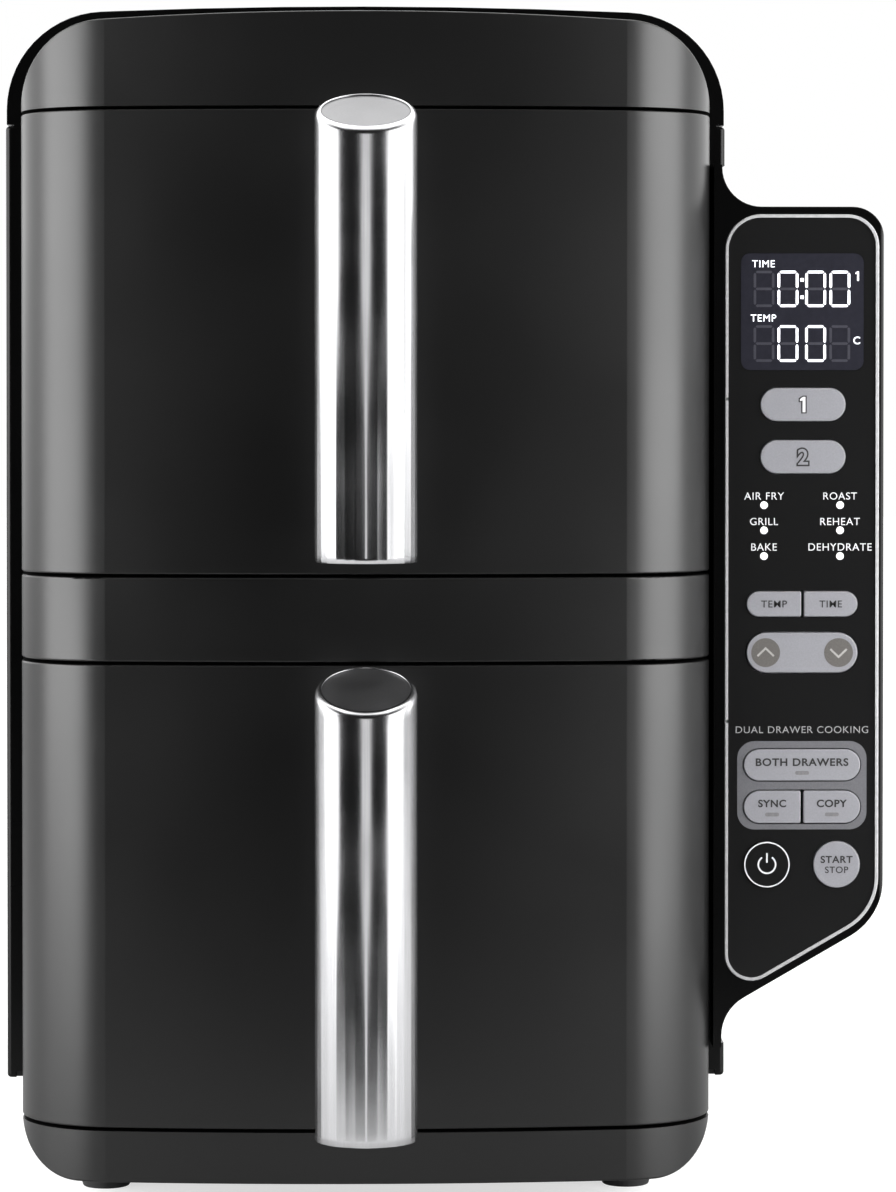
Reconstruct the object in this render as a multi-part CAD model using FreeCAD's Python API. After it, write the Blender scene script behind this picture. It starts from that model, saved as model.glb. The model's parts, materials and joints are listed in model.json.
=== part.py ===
import FreeCAD, Part
import math
import os

# Two-drawer stacked air fryer, in millimetres.
# Working frame: x = 0 on the cabinet's middle plane, y = 0 at the foremost point of the drawer fronts,
# z = 0 on the table. +Y runs to the back. save() moves everything to the part's own frame,
# whose origin is the bottom centre of the whole object.

V = FreeCAD.Vector

# ---------------------------------------------------------------- driving dimensions
overall_width = 279.4          # side cover to control pod
overall_depth = 470.0          # handle to rear spacers
overall_height = 380.3

side_cover_x = 114.9           # outer face of both side covers
pod_x = overall_width - side_cover_x

# Bowed front shared by the frame and both drawers
front_half_width = 109.2
front_bow_r = 670.0
front_corner_r = 32.0
front_bottom_z = 11.3
front_top_z = 375.0
front_bottom_r = 19.5
front_top_r = 28.0
front_crown_r = 1450.0
skin_t = 2.4
edge_r = 0.6

# Drawer cells
drawer_h = 144.1
cell_z = {"lower": 28.3, "upper": 200.6}
seam = 1.0
drawer_back_y = 40.0

# Handle
handle_r = 15.3
handle_wall = 0.8
handle_y = -50.0
handle_bottom = 5.7            # above the drawer's lower edge
handle_top = 140.2             # height of the sloping top at the handle's axis
handle_slope = 22.9            # degrees, lower at the front
web_half = 7.3
cap_recess = 0.5               # of the top cap below the sleeve's rim
cap_t = 2.0
boss_heights = (35.0, 110.0)   # of the two screws that hold the handle

# Housing
frame_y = 41.2
frame_t = 4.8
aperture_half = 97.8           # opening in the frame for each basket
aperture_low = 5.0
aperture_high = 121.0
aperture_r = 4.0
shell_y = 44.2
rear_t = 4.0
spacer_t = 8.4
rear_y = overall_depth + handle_y - handle_r - rear_t - spacer_t
shell_half_width = 114.5
shell_top_r = 31.5
shell_crown_r = 2000.0
shell_t = 2.6
cover_t = 2.8
cover_bottom_z = 37.8
cover_top_z = 342.1
base_half_width = 104.0
base_z = 6.0
foot_r = 9.0
foot_x = 84.3
foot_front_y = 62.0
foot_rear_y = 380.0
screw_z = (62.0, 200.0, 338.0)
screw_r = 1.6
screw_inset = 4.6              # from the shell's inner wall
gland_x = -78.0
gland_z = 30.0
cord_bore_r = 4.1

# Cooking chamber, heights above the drawer's lower edge
chamber_half = 99.0
chamber_low = 3.5
chamber_high = 136.0
chamber_y = (frame_y + frame_t, 338.0)
chamber_t = 1.0
chamber_r = 10.0
fan_height = 69.8
guard_y = 306.0
heater_y = 316.0
heater_tube_r = 2.8
heater_ring_r = (54.0, 61.0)
convection_r = 50.0
cooling_r = 38.0
shaft_r = 3.0
shaft_clearance = 0.05
motor_r = 30.0
probe_x = 60.0
probe_rise = 52.0              # above the fan's axis

# Basket, heights above the drawer's lower edge
basket_half = 91.0
basket_low = 8.0
basket_high = 118.0
basket_end_y = 300.0
basket_t = 1.2
basket_r = 22.0
rim_w = 5.5
rim_t = 1.5
basket_floor_r = 8.0
plate_height = 10.0

# Control pod on the right-hand side
pod_front_y = 31.9
pod_back_y = 135.0
pod_inner_x = 110.4
pod_bracket_x = 113.0
pod_low_z = 48.7
pod_high_z = 329.3
pod_top_z = 316.0
pod_slope = 30.0               # degrees, of the lower edge
pod_slope_z = 90.2             # height of the lower edge's outer end, before rounding
pod_wall = 2.4
bezel_left = 113.95
bezel_right = 162.9
bezel_slope_z = 92.0
bezel_top_z = 313.6
bezel_w = 1.05
panel_face_y = 32.0
panel_t = 2.0
board_y = panel_face_y + 10.0
switch_t = 2.6
key_gap = 0.3
key_proud = 0.6
key_flange = 0.9
key_flange_y = panel_face_y + panel_t + 1.1
key_flange_t = 1.0
key_travel = 0.8
stem_r = 1.6
stem_y = board_y - switch_t - key_travel - 0.4
rocker_stem_x = 12.0           # either side of the rocker's pivot
pivot_y = panel_face_y + 3.4
pivot_r = 1.2

origin = V((pod_x - side_cover_x) / 2, (rear_y + rear_t + spacer_t + handle_y - handle_r) / 2, 0)

parts = {}


# ---------------------------------------------------------------- helpers
def box(x1, x2, y1, y2, z1, z2):
    return Part.makeBox(x2 - x1, y2 - y1, z2 - z1, V(x1, y1, z1))


def rod_y(x, z, r, y1, y2):
    return Part.makeCylinder(r, y2 - y1, V(x, y1, z), V(0, 1, 0))


def rod_z(x, y, r, z1, z2):
    return Part.makeCylinder(r, z2 - z1, V(x, y, z1), V(0, 0, 1))


def rod_between(a, b, r):
    return Part.makeCylinder(r, (b - a).Length, a, b - a)


def rounded_wire(corners, place):
    """Closed wire through (u, v, radius) corners. place turns (u, v) into a point."""
    count = len(corners)
    arcs = []
    for i, (u, v, r) in enumerate(corners):
        here = V(u, v, 0)
        before = (V(*corners[i - 1][:2], 0) - here).normalize()
        after = (V(*corners[(i + 1) % count][:2], 0) - here).normalize()
        half = before.getAngle(after) / 2
        reach = r / math.tan(half)
        inward = (before + after).normalize() if r else V()
        middle = here + inward * (r / math.sin(half) - r)
        arcs.append((here + before * reach, middle, here + after * reach, r))
    edges = []
    for i, (start, middle, end, r) in enumerate(arcs):
        if r:
            edges.append(Part.Arc(place(start), place(middle), place(end)).toShape())
        following = arcs[(i + 1) % count][0]
        if end.distanceToPoint(following) > 1e-6:
            edges.append(Part.makeLine(place(end), place(following)))
    return Part.Wire(edges)


def prism_y(corners, y1, y2):
    """Outline given as (x, z, radius), extruded from y1 to y2."""
    wire = rounded_wire(corners, lambda p: V(p.x, y1, p.y))
    return Part.Face(wire).extrude(V(0, y2 - y1, 0))


def prism_z(corners, z1, z2):
    """Outline given as (x, y, radius), extruded from z1 to z2."""
    wire = rounded_wire(corners, lambda p: V(p.x, p.y, z1))
    return Part.Face(wire).extrude(V(0, 0, z2 - z1))


def rectangle(u1, u2, v1, v2, r):
    return [(u1, v1, r), (u2, v1, r), (u2, v2, r), (u1, v2, r)]


def crowned_outline(half, bottom, top, bottom_r, top_r, crown_r):
    """Rounded rectangle whose top edge is a shallow arc, as (x, z, radius) corners."""
    slope = math.atan((half - 1.08 * top_r) / crown_r)
    apex = top + crown_r * (1 / math.cos(slope) - 1)
    side = apex - half * math.tan(slope)
    return [(-half, bottom, bottom_r), (half, bottom, bottom_r), (half, side, top_r),
            (0, apex, crown_r), (-half, side, top_r)]


def fuse(shapes):
    return shapes[0].fuse(shapes[1:]).removeSplitter()


def mirrored(shape):
    return shape.mirror(V(), V(1, 0, 0))


def rim_fillet(solid, radius, wanted):
    """Rounds the edges for which wanted(edge) is true."""
    edges = [e for e in solid.Edges if wanted(e)]
    return solid.makeFillet(radius, edges)


def save(node, shape):
    solids = shape.Solids
    whole = solids[0] if len(solids) == 1 else Part.makeCompound(solids)
    whole = whole.copy()
    whole.translate(V() - origin)
    parts[node] = whole


# ---------------------------------------------------------------- bowed front
def bow_block(inset, z1, z2, back_y):
    """Prism of the bowed plan outline, moved inwards by inset and flat at back_y."""
    corner_x = front_half_width - front_corner_r
    corner_y = front_bow_r - math.sqrt((front_bow_r - front_corner_r) ** 2 - corner_x ** 2)
    bow_r = front_bow_r - inset
    corner_r = front_corner_r - inset
    away = V(corner_x, corner_y - front_bow_r, 0).normalize()
    side = V(front_half_width - inset, corner_y, z1)
    tangent = V(away.x * bow_r, front_bow_r + away.y * bow_r, z1)
    turn = (V(1, 0, 0) + away).normalize()
    middle = V(corner_x + turn.x * corner_r, corner_y + turn.y * corner_r, z1)
    back = V(side.x, back_y, z1)

    def left(p):
        return V(-p.x, p.y, p.z)

    edges = [
        Part.makeLine(left(back), left(side)),
        Part.Arc(left(side), left(middle), left(tangent)).toShape(),
        Part.Arc(left(tangent), V(0, inset, z1), tangent).toShape(),
        Part.Arc(tangent, middle, side).toShape(),
        Part.makeLine(side, back),
        Part.makeLine(back, left(back)),
    ]
    return Part.Face(Part.Wire(edges)).extrude(V(0, 0, z2 - z1))


def front_outline(inset, y1, y2):
    """Front view of the face as a prism, a hair wider than the bowed block so their sides never coincide."""
    hair = 0.05
    corners = crowned_outline(front_half_width + hair - inset, front_bottom_z + inset, front_top_z - inset,
                              front_bottom_r - inset, front_top_r - inset, front_crown_r - inset)
    return prism_y(corners, y1, y2)


def face_end(z1, z2):
    """Brow or lip of the front frame: the part of the whole rounded face from z1 to z2, hollowed."""
    outer = bow_block(0, front_bottom_z - 5, front_top_z + 5, frame_y)
    outer = outer.common(front_outline(0, -5, frame_y + 1))
    outer = rim_fillet(outer, edge_r, is_face_edge)
    inner = bow_block(skin_t, z1 + skin_t, z2 - skin_t, frame_y + 1)
    inner = inner.common(front_outline(skin_t, -5, frame_y + 2))
    band = box(-side_cover_x, side_cover_x, -5, frame_y, z1, z2)
    return outer.common(band).cut(inner)


def bowed_tray(z1, z2, back_y):
    """Bowed skin with a rim, open at the back."""
    outer = rim_fillet(bow_block(0, z1, z2, back_y), edge_r, is_face_edge)
    return outer.cut(bow_block(skin_t, z1 + skin_t, z2 - skin_t, back_y + 1))


def is_face_edge(edge):
    """True for the edges round a panel's face, and not for its upright seams or its back edge."""
    points = edge.discretize(5)
    same_x = max(p.x for p in points) - min(p.x for p in points) < 1e-4
    same_y = max(p.y for p in points) - min(p.y for p in points) < 1e-4
    same_z = max(p.z for p in points) - min(p.z for p in points) < 1e-4
    at_back = min(p.y for p in points) > drawer_back_y - 0.01
    return not (same_x and (same_y or same_z) or at_back)


def front_frame():
    """Brow, crossbar and lip on one plate with an aperture for each basket."""
    low, high = cell_z["lower"], cell_z["upper"]
    plate = bow_block(0, front_bottom_z - 1, front_top_z + 1, frame_y + frame_t)
    plate = plate.common(front_outline(0, frame_y, frame_y + frame_t + 1))
    brow = face_end(high + drawer_h + seam, front_top_z + skin_t + 1)
    crossbar = bowed_tray(low + drawer_h + seam, high - seam, frame_y)
    lip = face_end(front_bottom_z - skin_t - 1, low - seam)
    openings = []
    for z in cell_z.values():
        corners = rectangle(-aperture_half, aperture_half, z + aperture_low, z + aperture_high, aperture_r)
        openings.append(prism_y(corners, frame_y - 1, frame_y + frame_t + 1))
    save("front_frame", fuse([plate, brow, crossbar, lip]).cut(openings))


# ---------------------------------------------------------------- drawers
def handle_top_cut(z, below):
    """Block that fills everything above the handle's sloping top, lowered by below."""
    block = box(-40, 40, handle_y - 60, handle_y + 60, 0, 60)
    block.rotate(V(0, handle_y, 0), V(1, 0, 0), handle_slope)
    block.translate(V(0, 0, z + handle_top - below / math.cos(math.radians(handle_slope))))
    return block


def handle(name, z):
    """Polished sleeve, its end caps, and the core whose web holds it off the drawer."""
    low, high = z + handle_bottom, z + handle_top + 12
    core_r = handle_r - handle_wall - 0.05
    under_cap = cap_recess + cap_t
    bore = rod_z(0, handle_y, handle_r - handle_wall, low, high)
    sleeve = rod_z(0, handle_y, handle_r, low, high).cut(bore)
    slot = box(-web_half - 0.1, web_half + 0.1, handle_y, handle_y + 20, low, z + handle_top - 6)
    save("handle_grip_" + name, sleeve.cut([slot, handle_top_cut(z, 0)]))

    bottom_cap = rod_z(0, handle_y, core_r, low, low + cap_t)
    plug = rod_z(0, handle_y, core_r, low, high)
    top_cap = plug.common(handle_top_cut(z, under_cap)).cut(handle_top_cut(z, cap_recess))
    save("handle_caps_" + name, Part.makeCompound([bottom_cap, top_cap]))

    core = rod_z(0, handle_y, core_r, low + cap_t, high).cut(handle_top_cut(z, under_cap))
    hollow_r = 11.5
    core = core.cut(rod_z(0, handle_y, hollow_r, low + cap_t + 3, z + handle_top - 14))
    web = box(-web_half, web_half, handle_y + 12, -0.05, low + 6, z + handle_top - 8)
    scoops = [rod_z(side * 16.5, -12, 11, low, high) for side in (-1, 1)]
    bosses = [rod_y(0, z + h, 5, -1, 12) for h in boss_heights]
    save("handle_mount_" + name, fuse([core, web.cut(scoops)] + bosses))


def drawer_front(name, z):
    tray = bowed_tray(z, z + drawer_h, drawer_back_y)
    holes = [rod_y(0, z + h, 5.1, -5, 20) for h in boss_heights]
    save("drawer_front_" + name, tray.cut(holes))

    plate = front_outline(skin_t, 37, drawer_back_y)
    half = front_half_width - skin_t
    plate = plate.common(box(-half, half, 36, 41, z + skin_t, z + drawer_h - skin_t))
    posts = [rod_y(0, z + h, 8, 12, 37.5) for h in boss_heights]
    ribs = [box(x - 1, x + 1, 14, 37.5, z + 12, z + drawer_h - 12) for x in (-60, -30, 30, 60)]
    save("drawer_backing_" + name, fuse([plate] + posts + ribs))


def basket(name, z):
    low, high = z + basket_low, z + basket_high
    outer = prism_z(rectangle(-basket_half, basket_half, drawer_back_y, basket_end_y, basket_r), low, high)
    floor_edges = [e for e in outer.Edges if abs(e.BoundBox.ZMax - low) < 1e-3]
    outer = outer.makeFillet(basket_floor_r, floor_edges)
    t = basket_t
    inner = prism_z(rectangle(-basket_half + t, basket_half - t, drawer_back_y + t, basket_end_y - t,
                              basket_r - t), low + t, high + 1)
    floor_edges = [e for e in inner.Edges if abs(e.BoundBox.ZMax - low - t) < 1e-3]
    inner = inner.makeFillet(basket_floor_r - t, floor_edges)
    rim = prism_z(rectangle(-basket_half - rim_w, basket_half + rim_w, drawer_back_y, basket_end_y + 2,
                            basket_r + 1), high - rim_t, high)
    vents = [prism_y(rectangle(x - 2.5, x + 2.5, high - 34, high - 8, 2.4),
                     basket_end_y - 5, basket_end_y + 5)
             for x in range(-60, 61, 12)]
    save("basket_" + name, outer.fuse(rim).cut([inner] + vents))


def crisper_plate(name, z):
    """Perforated plate on four pressed feet, and the silicone bumpers at its corners."""
    low = z + basket_low + basket_t + 0.3
    level = z + basket_low + basket_t + plate_height
    half = basket_half - 5.0
    y1, y2 = drawer_back_y + 8, basket_end_y - 8
    plate = prism_z(rectangle(-half, half, y1, y2, basket_r - 4), level, level + 1.6)
    feet = [rod_z(x, y, 5, low, level + 0.5) for x in (-62, 62) for y in (y1 + 30, y2 - 30)]
    holes = []
    for row in range(11):
        y = y1 + 28 + row * 20
        shift = 9 if row % 2 else 0
        holes += [rod_z(x, y, 3.6, level - 1, level + 3) for x in range(-72 + shift, 73 - shift, 18)
                  if abs(abs(x) - 62) > 10 or min(abs(y - y1 - 30), abs(y - y2 + 30)) > 10]
    plate = fuse([plate] + feet).cut(holes)
    save("crisper_plate_" + name, plate)

    bumpers = []
    for x, y in ((half, y1 + 40), (half, y2 - 40)):
        for side in (-1, 1):
            block = box(x - 6, x + 3.2, y - 7, y + 7, level - 2.4, level + 4)
            slot = box(x - 7, x, y - 8, y + 8, level, level + 1.6)
            piece = block.cut(slot)
            bumpers.append(piece if side > 0 else mirrored(piece))
    save("plate_bumpers_" + name, Part.makeCompound(bumpers))


# ---------------------------------------------------------------- housing
def shell_corners(half, bottom, inset):
    """Arch outline with square lower corners and a shallow crown, moved inwards by inset at the top."""
    return crowned_outline(half, bottom, overall_height - inset, 0, shell_top_r - inset, shell_crown_r - inset)


def housing_shell():
    """Wrap over the top and both sides, stepped in where the side covers sit."""
    ledge = side_cover_x - cover_t
    full = prism_y(shell_corners(shell_half_width, cover_top_z + 0.4, 0), shell_y, rear_y)
    lower = prism_y(rectangle(-ledge, ledge, cover_bottom_z + 2, cover_top_z + 3, 0), shell_y, rear_y)
    wall = side_cover_x - cover_t - shell_t
    inner = prism_y(shell_corners(wall, cover_bottom_z, shell_t), shell_y - 1, rear_y + 1)
    screws_at = [(side * (wall - screw_inset), z) for side in (-1, 1) for z in screw_z]
    bosses = [rod_y(x, z, 5.2, rear_y - 16, rear_y) for x, z in screws_at]
    pilots = [rod_y(x, z, screw_r, rear_y - 12, rear_y + 1) for x, z in screws_at]
    wires = box(wall - 2, ledge + 1, 60, 90, 120, 260)
    seat = front_outline(0, shell_y - 1, frame_y + frame_t)
    shell = full.fuse(lower).cut([inner, seat])
    save("housing_shell", fuse([shell] + bosses).cut(pilots + [wires]))

    screws = []
    outside = rear_y + rear_t
    for x, z in screws_at:
        head = rod_y(x, z, 3.2, outside, outside + 1.8)
        head = rim_fillet(head, 0.8, lambda e: e.BoundBox.YMin > outside + 1)
        recess = [box(x - 1.8, x + 1.8, outside + 0.9, outside + 3, z - 0.4, z + 0.4),
                  box(x - 0.4, x + 0.4, outside + 0.9, outside + 3, z - 1.8, z + 1.8)]
        shank = rod_y(x, z, screw_r, rear_y - 10, outside + 0.5)
        screws.append(fuse([head, shank]).cut(recess))
    save("housing_screws", Part.makeCompound(screws))


def side_covers():
    inner = side_cover_x - cover_t
    plan = [(inner, shell_y, 0), (side_cover_x, shell_y, 1.6), (side_cover_x, rear_y - 2, 1.6),
            (inner, rear_y - 2, 0)]
    right = prism_z(plan, cover_bottom_z, cover_top_z)
    right = rim_fillet(right, 1.2, lambda e: abs(e.CenterOfMass.x - side_cover_x) < 0.2
                       and e.BoundBox.ZLength < 1e-3)
    groove_depth = 1.0
    grooves = [box(side_cover_x - groove_depth, side_cover_x + 1, 250, 380, z - 1.2, z + 1.2)
               for z in range(90, 301, 14)]
    save("side_cover_left", mirrored(right.cut(grooves)))
    window = box(inner - 1, side_cover_x + 1, shell_y - 1, pod_back_y + 0.4,
                 pod_low_z - 0.4, pod_high_z + 0.4)
    save("side_cover_right", right.cut(grooves + [window]))


def base_pan():
    corners = rectangle(-base_half_width, base_half_width, base_z, cover_bottom_z + 2, 20)
    corners = corners[:2] + [(u, v, 0) for u, v, r in corners[2:]]
    outer = prism_y(corners, frame_y + frame_t, rear_y)
    t = 2.4
    inside = [(-base_half_width + t, base_z + t, 18), (base_half_width - t, base_z + t, 18),
              (base_half_width - t, cover_bottom_z + 3, 0), (-base_half_width + t, cover_bottom_z + 3, 0)]
    inner = prism_y(inside, frame_y + frame_t + t, rear_y + 1)
    ledge = side_cover_x - cover_t
    flange = box(base_half_width - 1, ledge, shell_y + 2, rear_y, cover_bottom_z + 0.2, cover_bottom_z + 2)
    flanges = [flange, mirrored(flange)]
    doorway = box(-base_half_width + t, base_half_width - t, frame_y, frame_y + frame_t + t + 1,
                  cell_z["lower"] + 0.5, cover_bottom_z + 3)
    slots = [prism_z(rectangle(x - 2, x + 2, y, y + 40, 1.9), base_z - 1, base_z + t + 1)
             for x in range(-60, 61, 10) for y in (120, 180, 240, 300)]
    save("base_pan", fuse([outer.cut([inner, doorway])] + flanges).cut(slots))

    feet = []
    for x in (-foot_x, foot_x):
        for y in (foot_front_y, foot_rear_y):
            foot = Part.makeCone(foot_r - 1.5, foot_r, base_z, V(x, y, 0))
            feet.append(rim_fillet(foot, 0.8, lambda e: e.BoundBox.ZMax < 0.01))
    save("rubber_feet", Part.makeCompound(feet))


def rear_cover():
    """Back panel with a round grille behind each cooling fan and two wall spacers."""
    step = 0.6
    upper = shell_corners(shell_half_width - step, cover_bottom_z + 2, step)
    upper = prism_y(upper, rear_y, rear_y + rear_t)
    corners = rectangle(-base_half_width, base_half_width, base_z, cover_bottom_z + 10, 20)
    corners = corners[:2] + [(u, v, 0) for u, v, r in corners[2:]]
    lower = prism_y(corners, rear_y, rear_y + rear_t)
    body = fuse([upper, lower])
    body = rim_fillet(body, 1.5, lambda e: abs(e.BoundBox.YMin - rear_y - rear_t) < 1e-3)
    openings = []
    for z in cell_z.values():
        for ring in (14, 22, 30, 38):
            band = rod_y(0, z + fan_height, ring + 2.4, rear_y - 1, rear_y + rear_t + 1)
            band = band.cut(rod_y(0, z + fan_height, ring - 2.4, rear_y - 2, rear_y + rear_t + 2))
            spokes = [box(-60, 60, rear_y - 2, rear_y + rear_t + 2, z + fan_height - 2, z + fan_height + 2)]
            spokes[0].rotate(V(0, 0, z + fan_height), V(0, 1, 0), 45)
            second = spokes[0].copy()
            second.rotate(V(0, 0, z + fan_height), V(0, 1, 0), 90)
            openings.append(band.cut([spokes[0], second]))
        openings += [prism_y(rectangle(side * 72 - 18, side * 72 + 18, z + h - 2, z + h + 2, 1.9),
                             rear_y - 1, rear_y + rear_t + 1)
                     for side in (-1, 1) for h in range(36, 105, 10)]
    wall = side_cover_x - cover_t - shell_t
    outside = rear_y + rear_t
    holes = [rod_y(side * (wall - screw_inset), z, screw_r + 0.2, rear_y - 1, outside + 1)
             for side in (-1, 1) for z in screw_z]
    spacers = [prism_y(rectangle(x - 9, x + 9, 180, 196, 5), outside - 0.5, outside + spacer_t)
               for x in (-62, 62)]
    gland_hole = rod_y(gland_x, gland_z, 8.0, rear_y - 1, outside + 1)
    save("rear_cover", fuse([body] + spacers).cut(openings + holes + [gland_hole]))

    flange = rod_y(gland_x, gland_z, 10.5, outside, outside + 3)
    flange = rim_fillet(flange, 1.0, lambda e: abs(e.BoundBox.YMin - outside - 3) < 1e-3)
    barrel = rod_y(gland_x, gland_z, 7.9, rear_y - 8, outside + 1)
    bore = rod_y(gland_x, gland_z, cord_bore_r, rear_y - 9, outside + 6)
    save("cord_gland", fuse([flange, barrel]).cut(bore))


def power_board():
    y = 352.0
    board = box(44, 104, y, y + 1.6, 70, 190)
    blocks = [box(50, 72, y + 1.5, y + 20, 80, 104), box(78, 98, y + 1.5, y + 14, 80, 96),
              box(76, 92, y + 1.5, y + 17, 104, 124), box(50, 66, y + 1.5, y + 17, 112, 132)]
    cans = [rod_y(x, z, 6, y + 1.5, y + 24) for x, z in ((58, 148), (76, 148), (94, 148))]
    posts = [rod_y(x, z, 2.5, chamber_y[1], y + 0.5) for x in (47, 101) for z in (74, 156)]
    save("power_board", fuse([board] + blocks + cans + posts))


# ---------------------------------------------------------------- cooking chambers
def chamber(name, z):
    y1, y2 = chamber_y
    low, high, half, t = z + chamber_low, z + chamber_high, chamber_half, chamber_t
    outer = prism_y(rectangle(-half, half, low, high, chamber_r), y1, y2)
    inner = prism_y(rectangle(-half + t, half - t, low + t, high - t, chamber_r - t), y1 - 1, y2 - t)
    flange = prism_y(rectangle(-half - 2.2, half + 2.2, low - 2.2, high + 2.2, chamber_r), y1, y1 + 1.2)
    middle = z + fan_height
    holes = [rod_y(0, middle, 6, y2 - 3, y2 + 1), rod_y(probe_x, middle + probe_rise, 2.4, y2 - 3, y2 + 1)]
    holes += [rod_y(x, zz, heater_tube_r + 0.8, y2 - 3, y2 + 1) for x, zz in heater_ends(z)]
    save("chamber_" + name, outer.fuse(flange).cut([inner] + holes))


def heater_ends(z):
    """(x, z) of the two terminals, one on each ring."""
    angle = math.radians(215)
    return [(r * math.cos(angle), z + fan_height + r * math.sin(angle)) for r in heater_ring_r]


def heater(name, z):
    """Two open rings of tube joined at one end, with both terminals through the rear wall."""
    start, sweep = 215.0, 290.0
    tube, rear = heater_tube_r, chamber_y[1]
    pieces = []
    far_ends = []
    for r in heater_ring_r:
        ring = Part.makeTorus(r, tube, V(), V(0, 0, 1), 0, 360, sweep)
        ring.rotate(V(), V(0, 0, 1), start)
        ring.rotate(V(), V(1, 0, 0), 90)
        ring.translate(V(0, heater_y, 0))
        pieces.append(ring)
        end = math.radians(start + sweep)
        far_ends.append(V(r * math.cos(end), heater_y, r * math.sin(end)))
    pieces.append(rod_between(far_ends[0], far_ends[1], tube))
    pieces += [Part.makeSphere(tube, p) for p in far_ends]
    for x, height in heater_ends(-fan_height):
        pieces.append(Part.makeSphere(tube, V(x, heater_y, height)))
        pieces.append(rod_y(x, height, tube, heater_y, rear + 8))
        pieces.append(rod_y(x, height, 1.2, rear + 7, rear + 14))
        pieces.append(rod_y(x, height, tube + 2, rear, rear + 1.5))
    element = fuse(pieces)
    element.translate(V(0, 0, z + fan_height))
    save("heater_" + name, element)


def fan_guard(name, z):
    low, high = z + chamber_low + chamber_t, z + chamber_high - chamber_t
    half = chamber_half - chamber_t
    plate = prism_y(rectangle(-half, half, low, high, chamber_r - chamber_t), guard_y, guard_y + 1)
    holes = [rod_y(0, z + fan_height, 3.4, guard_y - 1, guard_y + 2)]
    for ring, count in ((10, 6), (20, 12), (30, 18), (40, 24), (50, 30)):
        for i in range(count):
            a = 2 * math.pi * i / count
            holes.append(rod_y(ring * math.cos(a), z + fan_height + ring * math.sin(a), 3.4,
                               guard_y - 1, guard_y + 2))
    for side in (-1, 1):
        holes += [prism_y(rectangle(side * 80 - 12, side * 80 + 12, z + h - 2.5, z + h + 2.5, 2.4),
                          guard_y - 1, guard_y + 2) for h in range(24, 121, 12)]
    save("fan_guard_" + name, plate.cut(holes))


def motor(name, z):
    """Motor can on a flange whose posts stand on the chamber's rear wall."""
    zz = z + fan_height
    y = chamber_y[1]
    can = rod_y(0, zz, motor_r, y + 8, y + 34)
    can = rim_fillet(can, 3, lambda e: e.BoundBox.YMin > y + 30)
    flange = rod_y(0, zz, motor_r + 12, y + 8, y + 10)
    bearings = [rod_y(0, zz, 8, y + 4, y + 9), rod_y(0, zz, 8, y + 33, y + 38)]
    posts = []
    for i in range(3):
        a = math.radians(90 + 120 * i)
        posts.append(rod_y(37 * math.cos(a), zz + 37 * math.sin(a), 4, y, y + 9))
    bore = rod_y(0, zz, shaft_r + shaft_clearance, y - 1, y + 45)
    save("motor_" + name, fuse([can, flange] + bearings + posts).cut(bore))


def blade_ring(z, count, r1, r2, y1, y2, lean):
    """Radial blades, each turned by lean degrees about its own root."""
    blades = []
    for i in range(count):
        blade = box(r1, r2, y1, y2, -0.6, 0.6)
        blade.rotate(V(r1, 0, 0), V(0, 1, 0), lean)
        blade.rotate(V(), V(0, 1, 0), 360.0 * i / count)
        blade.translate(V(0, 0, z))
        blades.append(blade)
    return blades


def fans(name, z):
    """Convection impeller, shaft and cooling fan, which all turn together."""
    zz = z + fan_height
    y = chamber_y[1]
    bore = rod_y(0, zz, shaft_r, y - 30, y + 60)
    disc = rod_y(0, zz, convection_r, y - 4, y - 3)
    hub = rod_y(0, zz, 9, y - 15, y - 3)
    blades = blade_ring(zz, 12, 8, convection_r - 3, y - 14, y - 3.5, 18)
    save("convection_fan_" + name, fuse([disc, hub] + blades).cut(bore))
    save("motor_shaft_" + name, rod_y(0, zz, shaft_r, y - 17, y + 50))
    hub = rod_y(0, zz, 9, y + 39, y + 49)
    blades = []
    for i in range(7):
        blade = box(8, cooling_r, y + 43, y + 44.2, -7, 7)
        blade.rotate(V(8, y + 43.6, 0), V(1, 0, 0), 28)
        blade.rotate(V(), V(0, 1, 0), 360.0 * i / 7)
        blade.translate(V(0, 0, zz))
        blades.append(blade)
    save("cooling_fan_" + name, fuse([hub] + blades).cut(bore))


def chamber_fittings():
    """Runners, probes and drawer switches: each node groups the same piece from both chambers."""
    wall = chamber_half - chamber_t
    runners, probes, switches = [], [], []
    for z in cell_z.values():
        top = z + basket_high - rim_t - 0.3
        for side in (-1, 1):
            rail = prism_y([(side * (basket_half + 1.6), top - 3, 0), (side * wall, top - 3, 0),
                            (side * wall, top, 0), (side * (basket_half + 1.6), top, 0)], 50, 298)
            runners.append(rail)
        height = z + fan_height + probe_rise
        stem = rod_y(probe_x, height, 1.8, chamber_y[1] - 24, chamber_y[1] + 4)
        collar = rod_y(probe_x, height, 5, chamber_y[1], chamber_y[1] + 1.5)
        probes.append(fuse([stem, collar]))
        switches.append(box(chamber_half, 107.4, 48, 62, z + 60, z + 84))
    save("drawer_runners", Part.makeCompound(runners))
    save("temperature_probes", Part.makeCompound(probes))
    save("drawer_switches", Part.makeCompound(switches))


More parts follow.
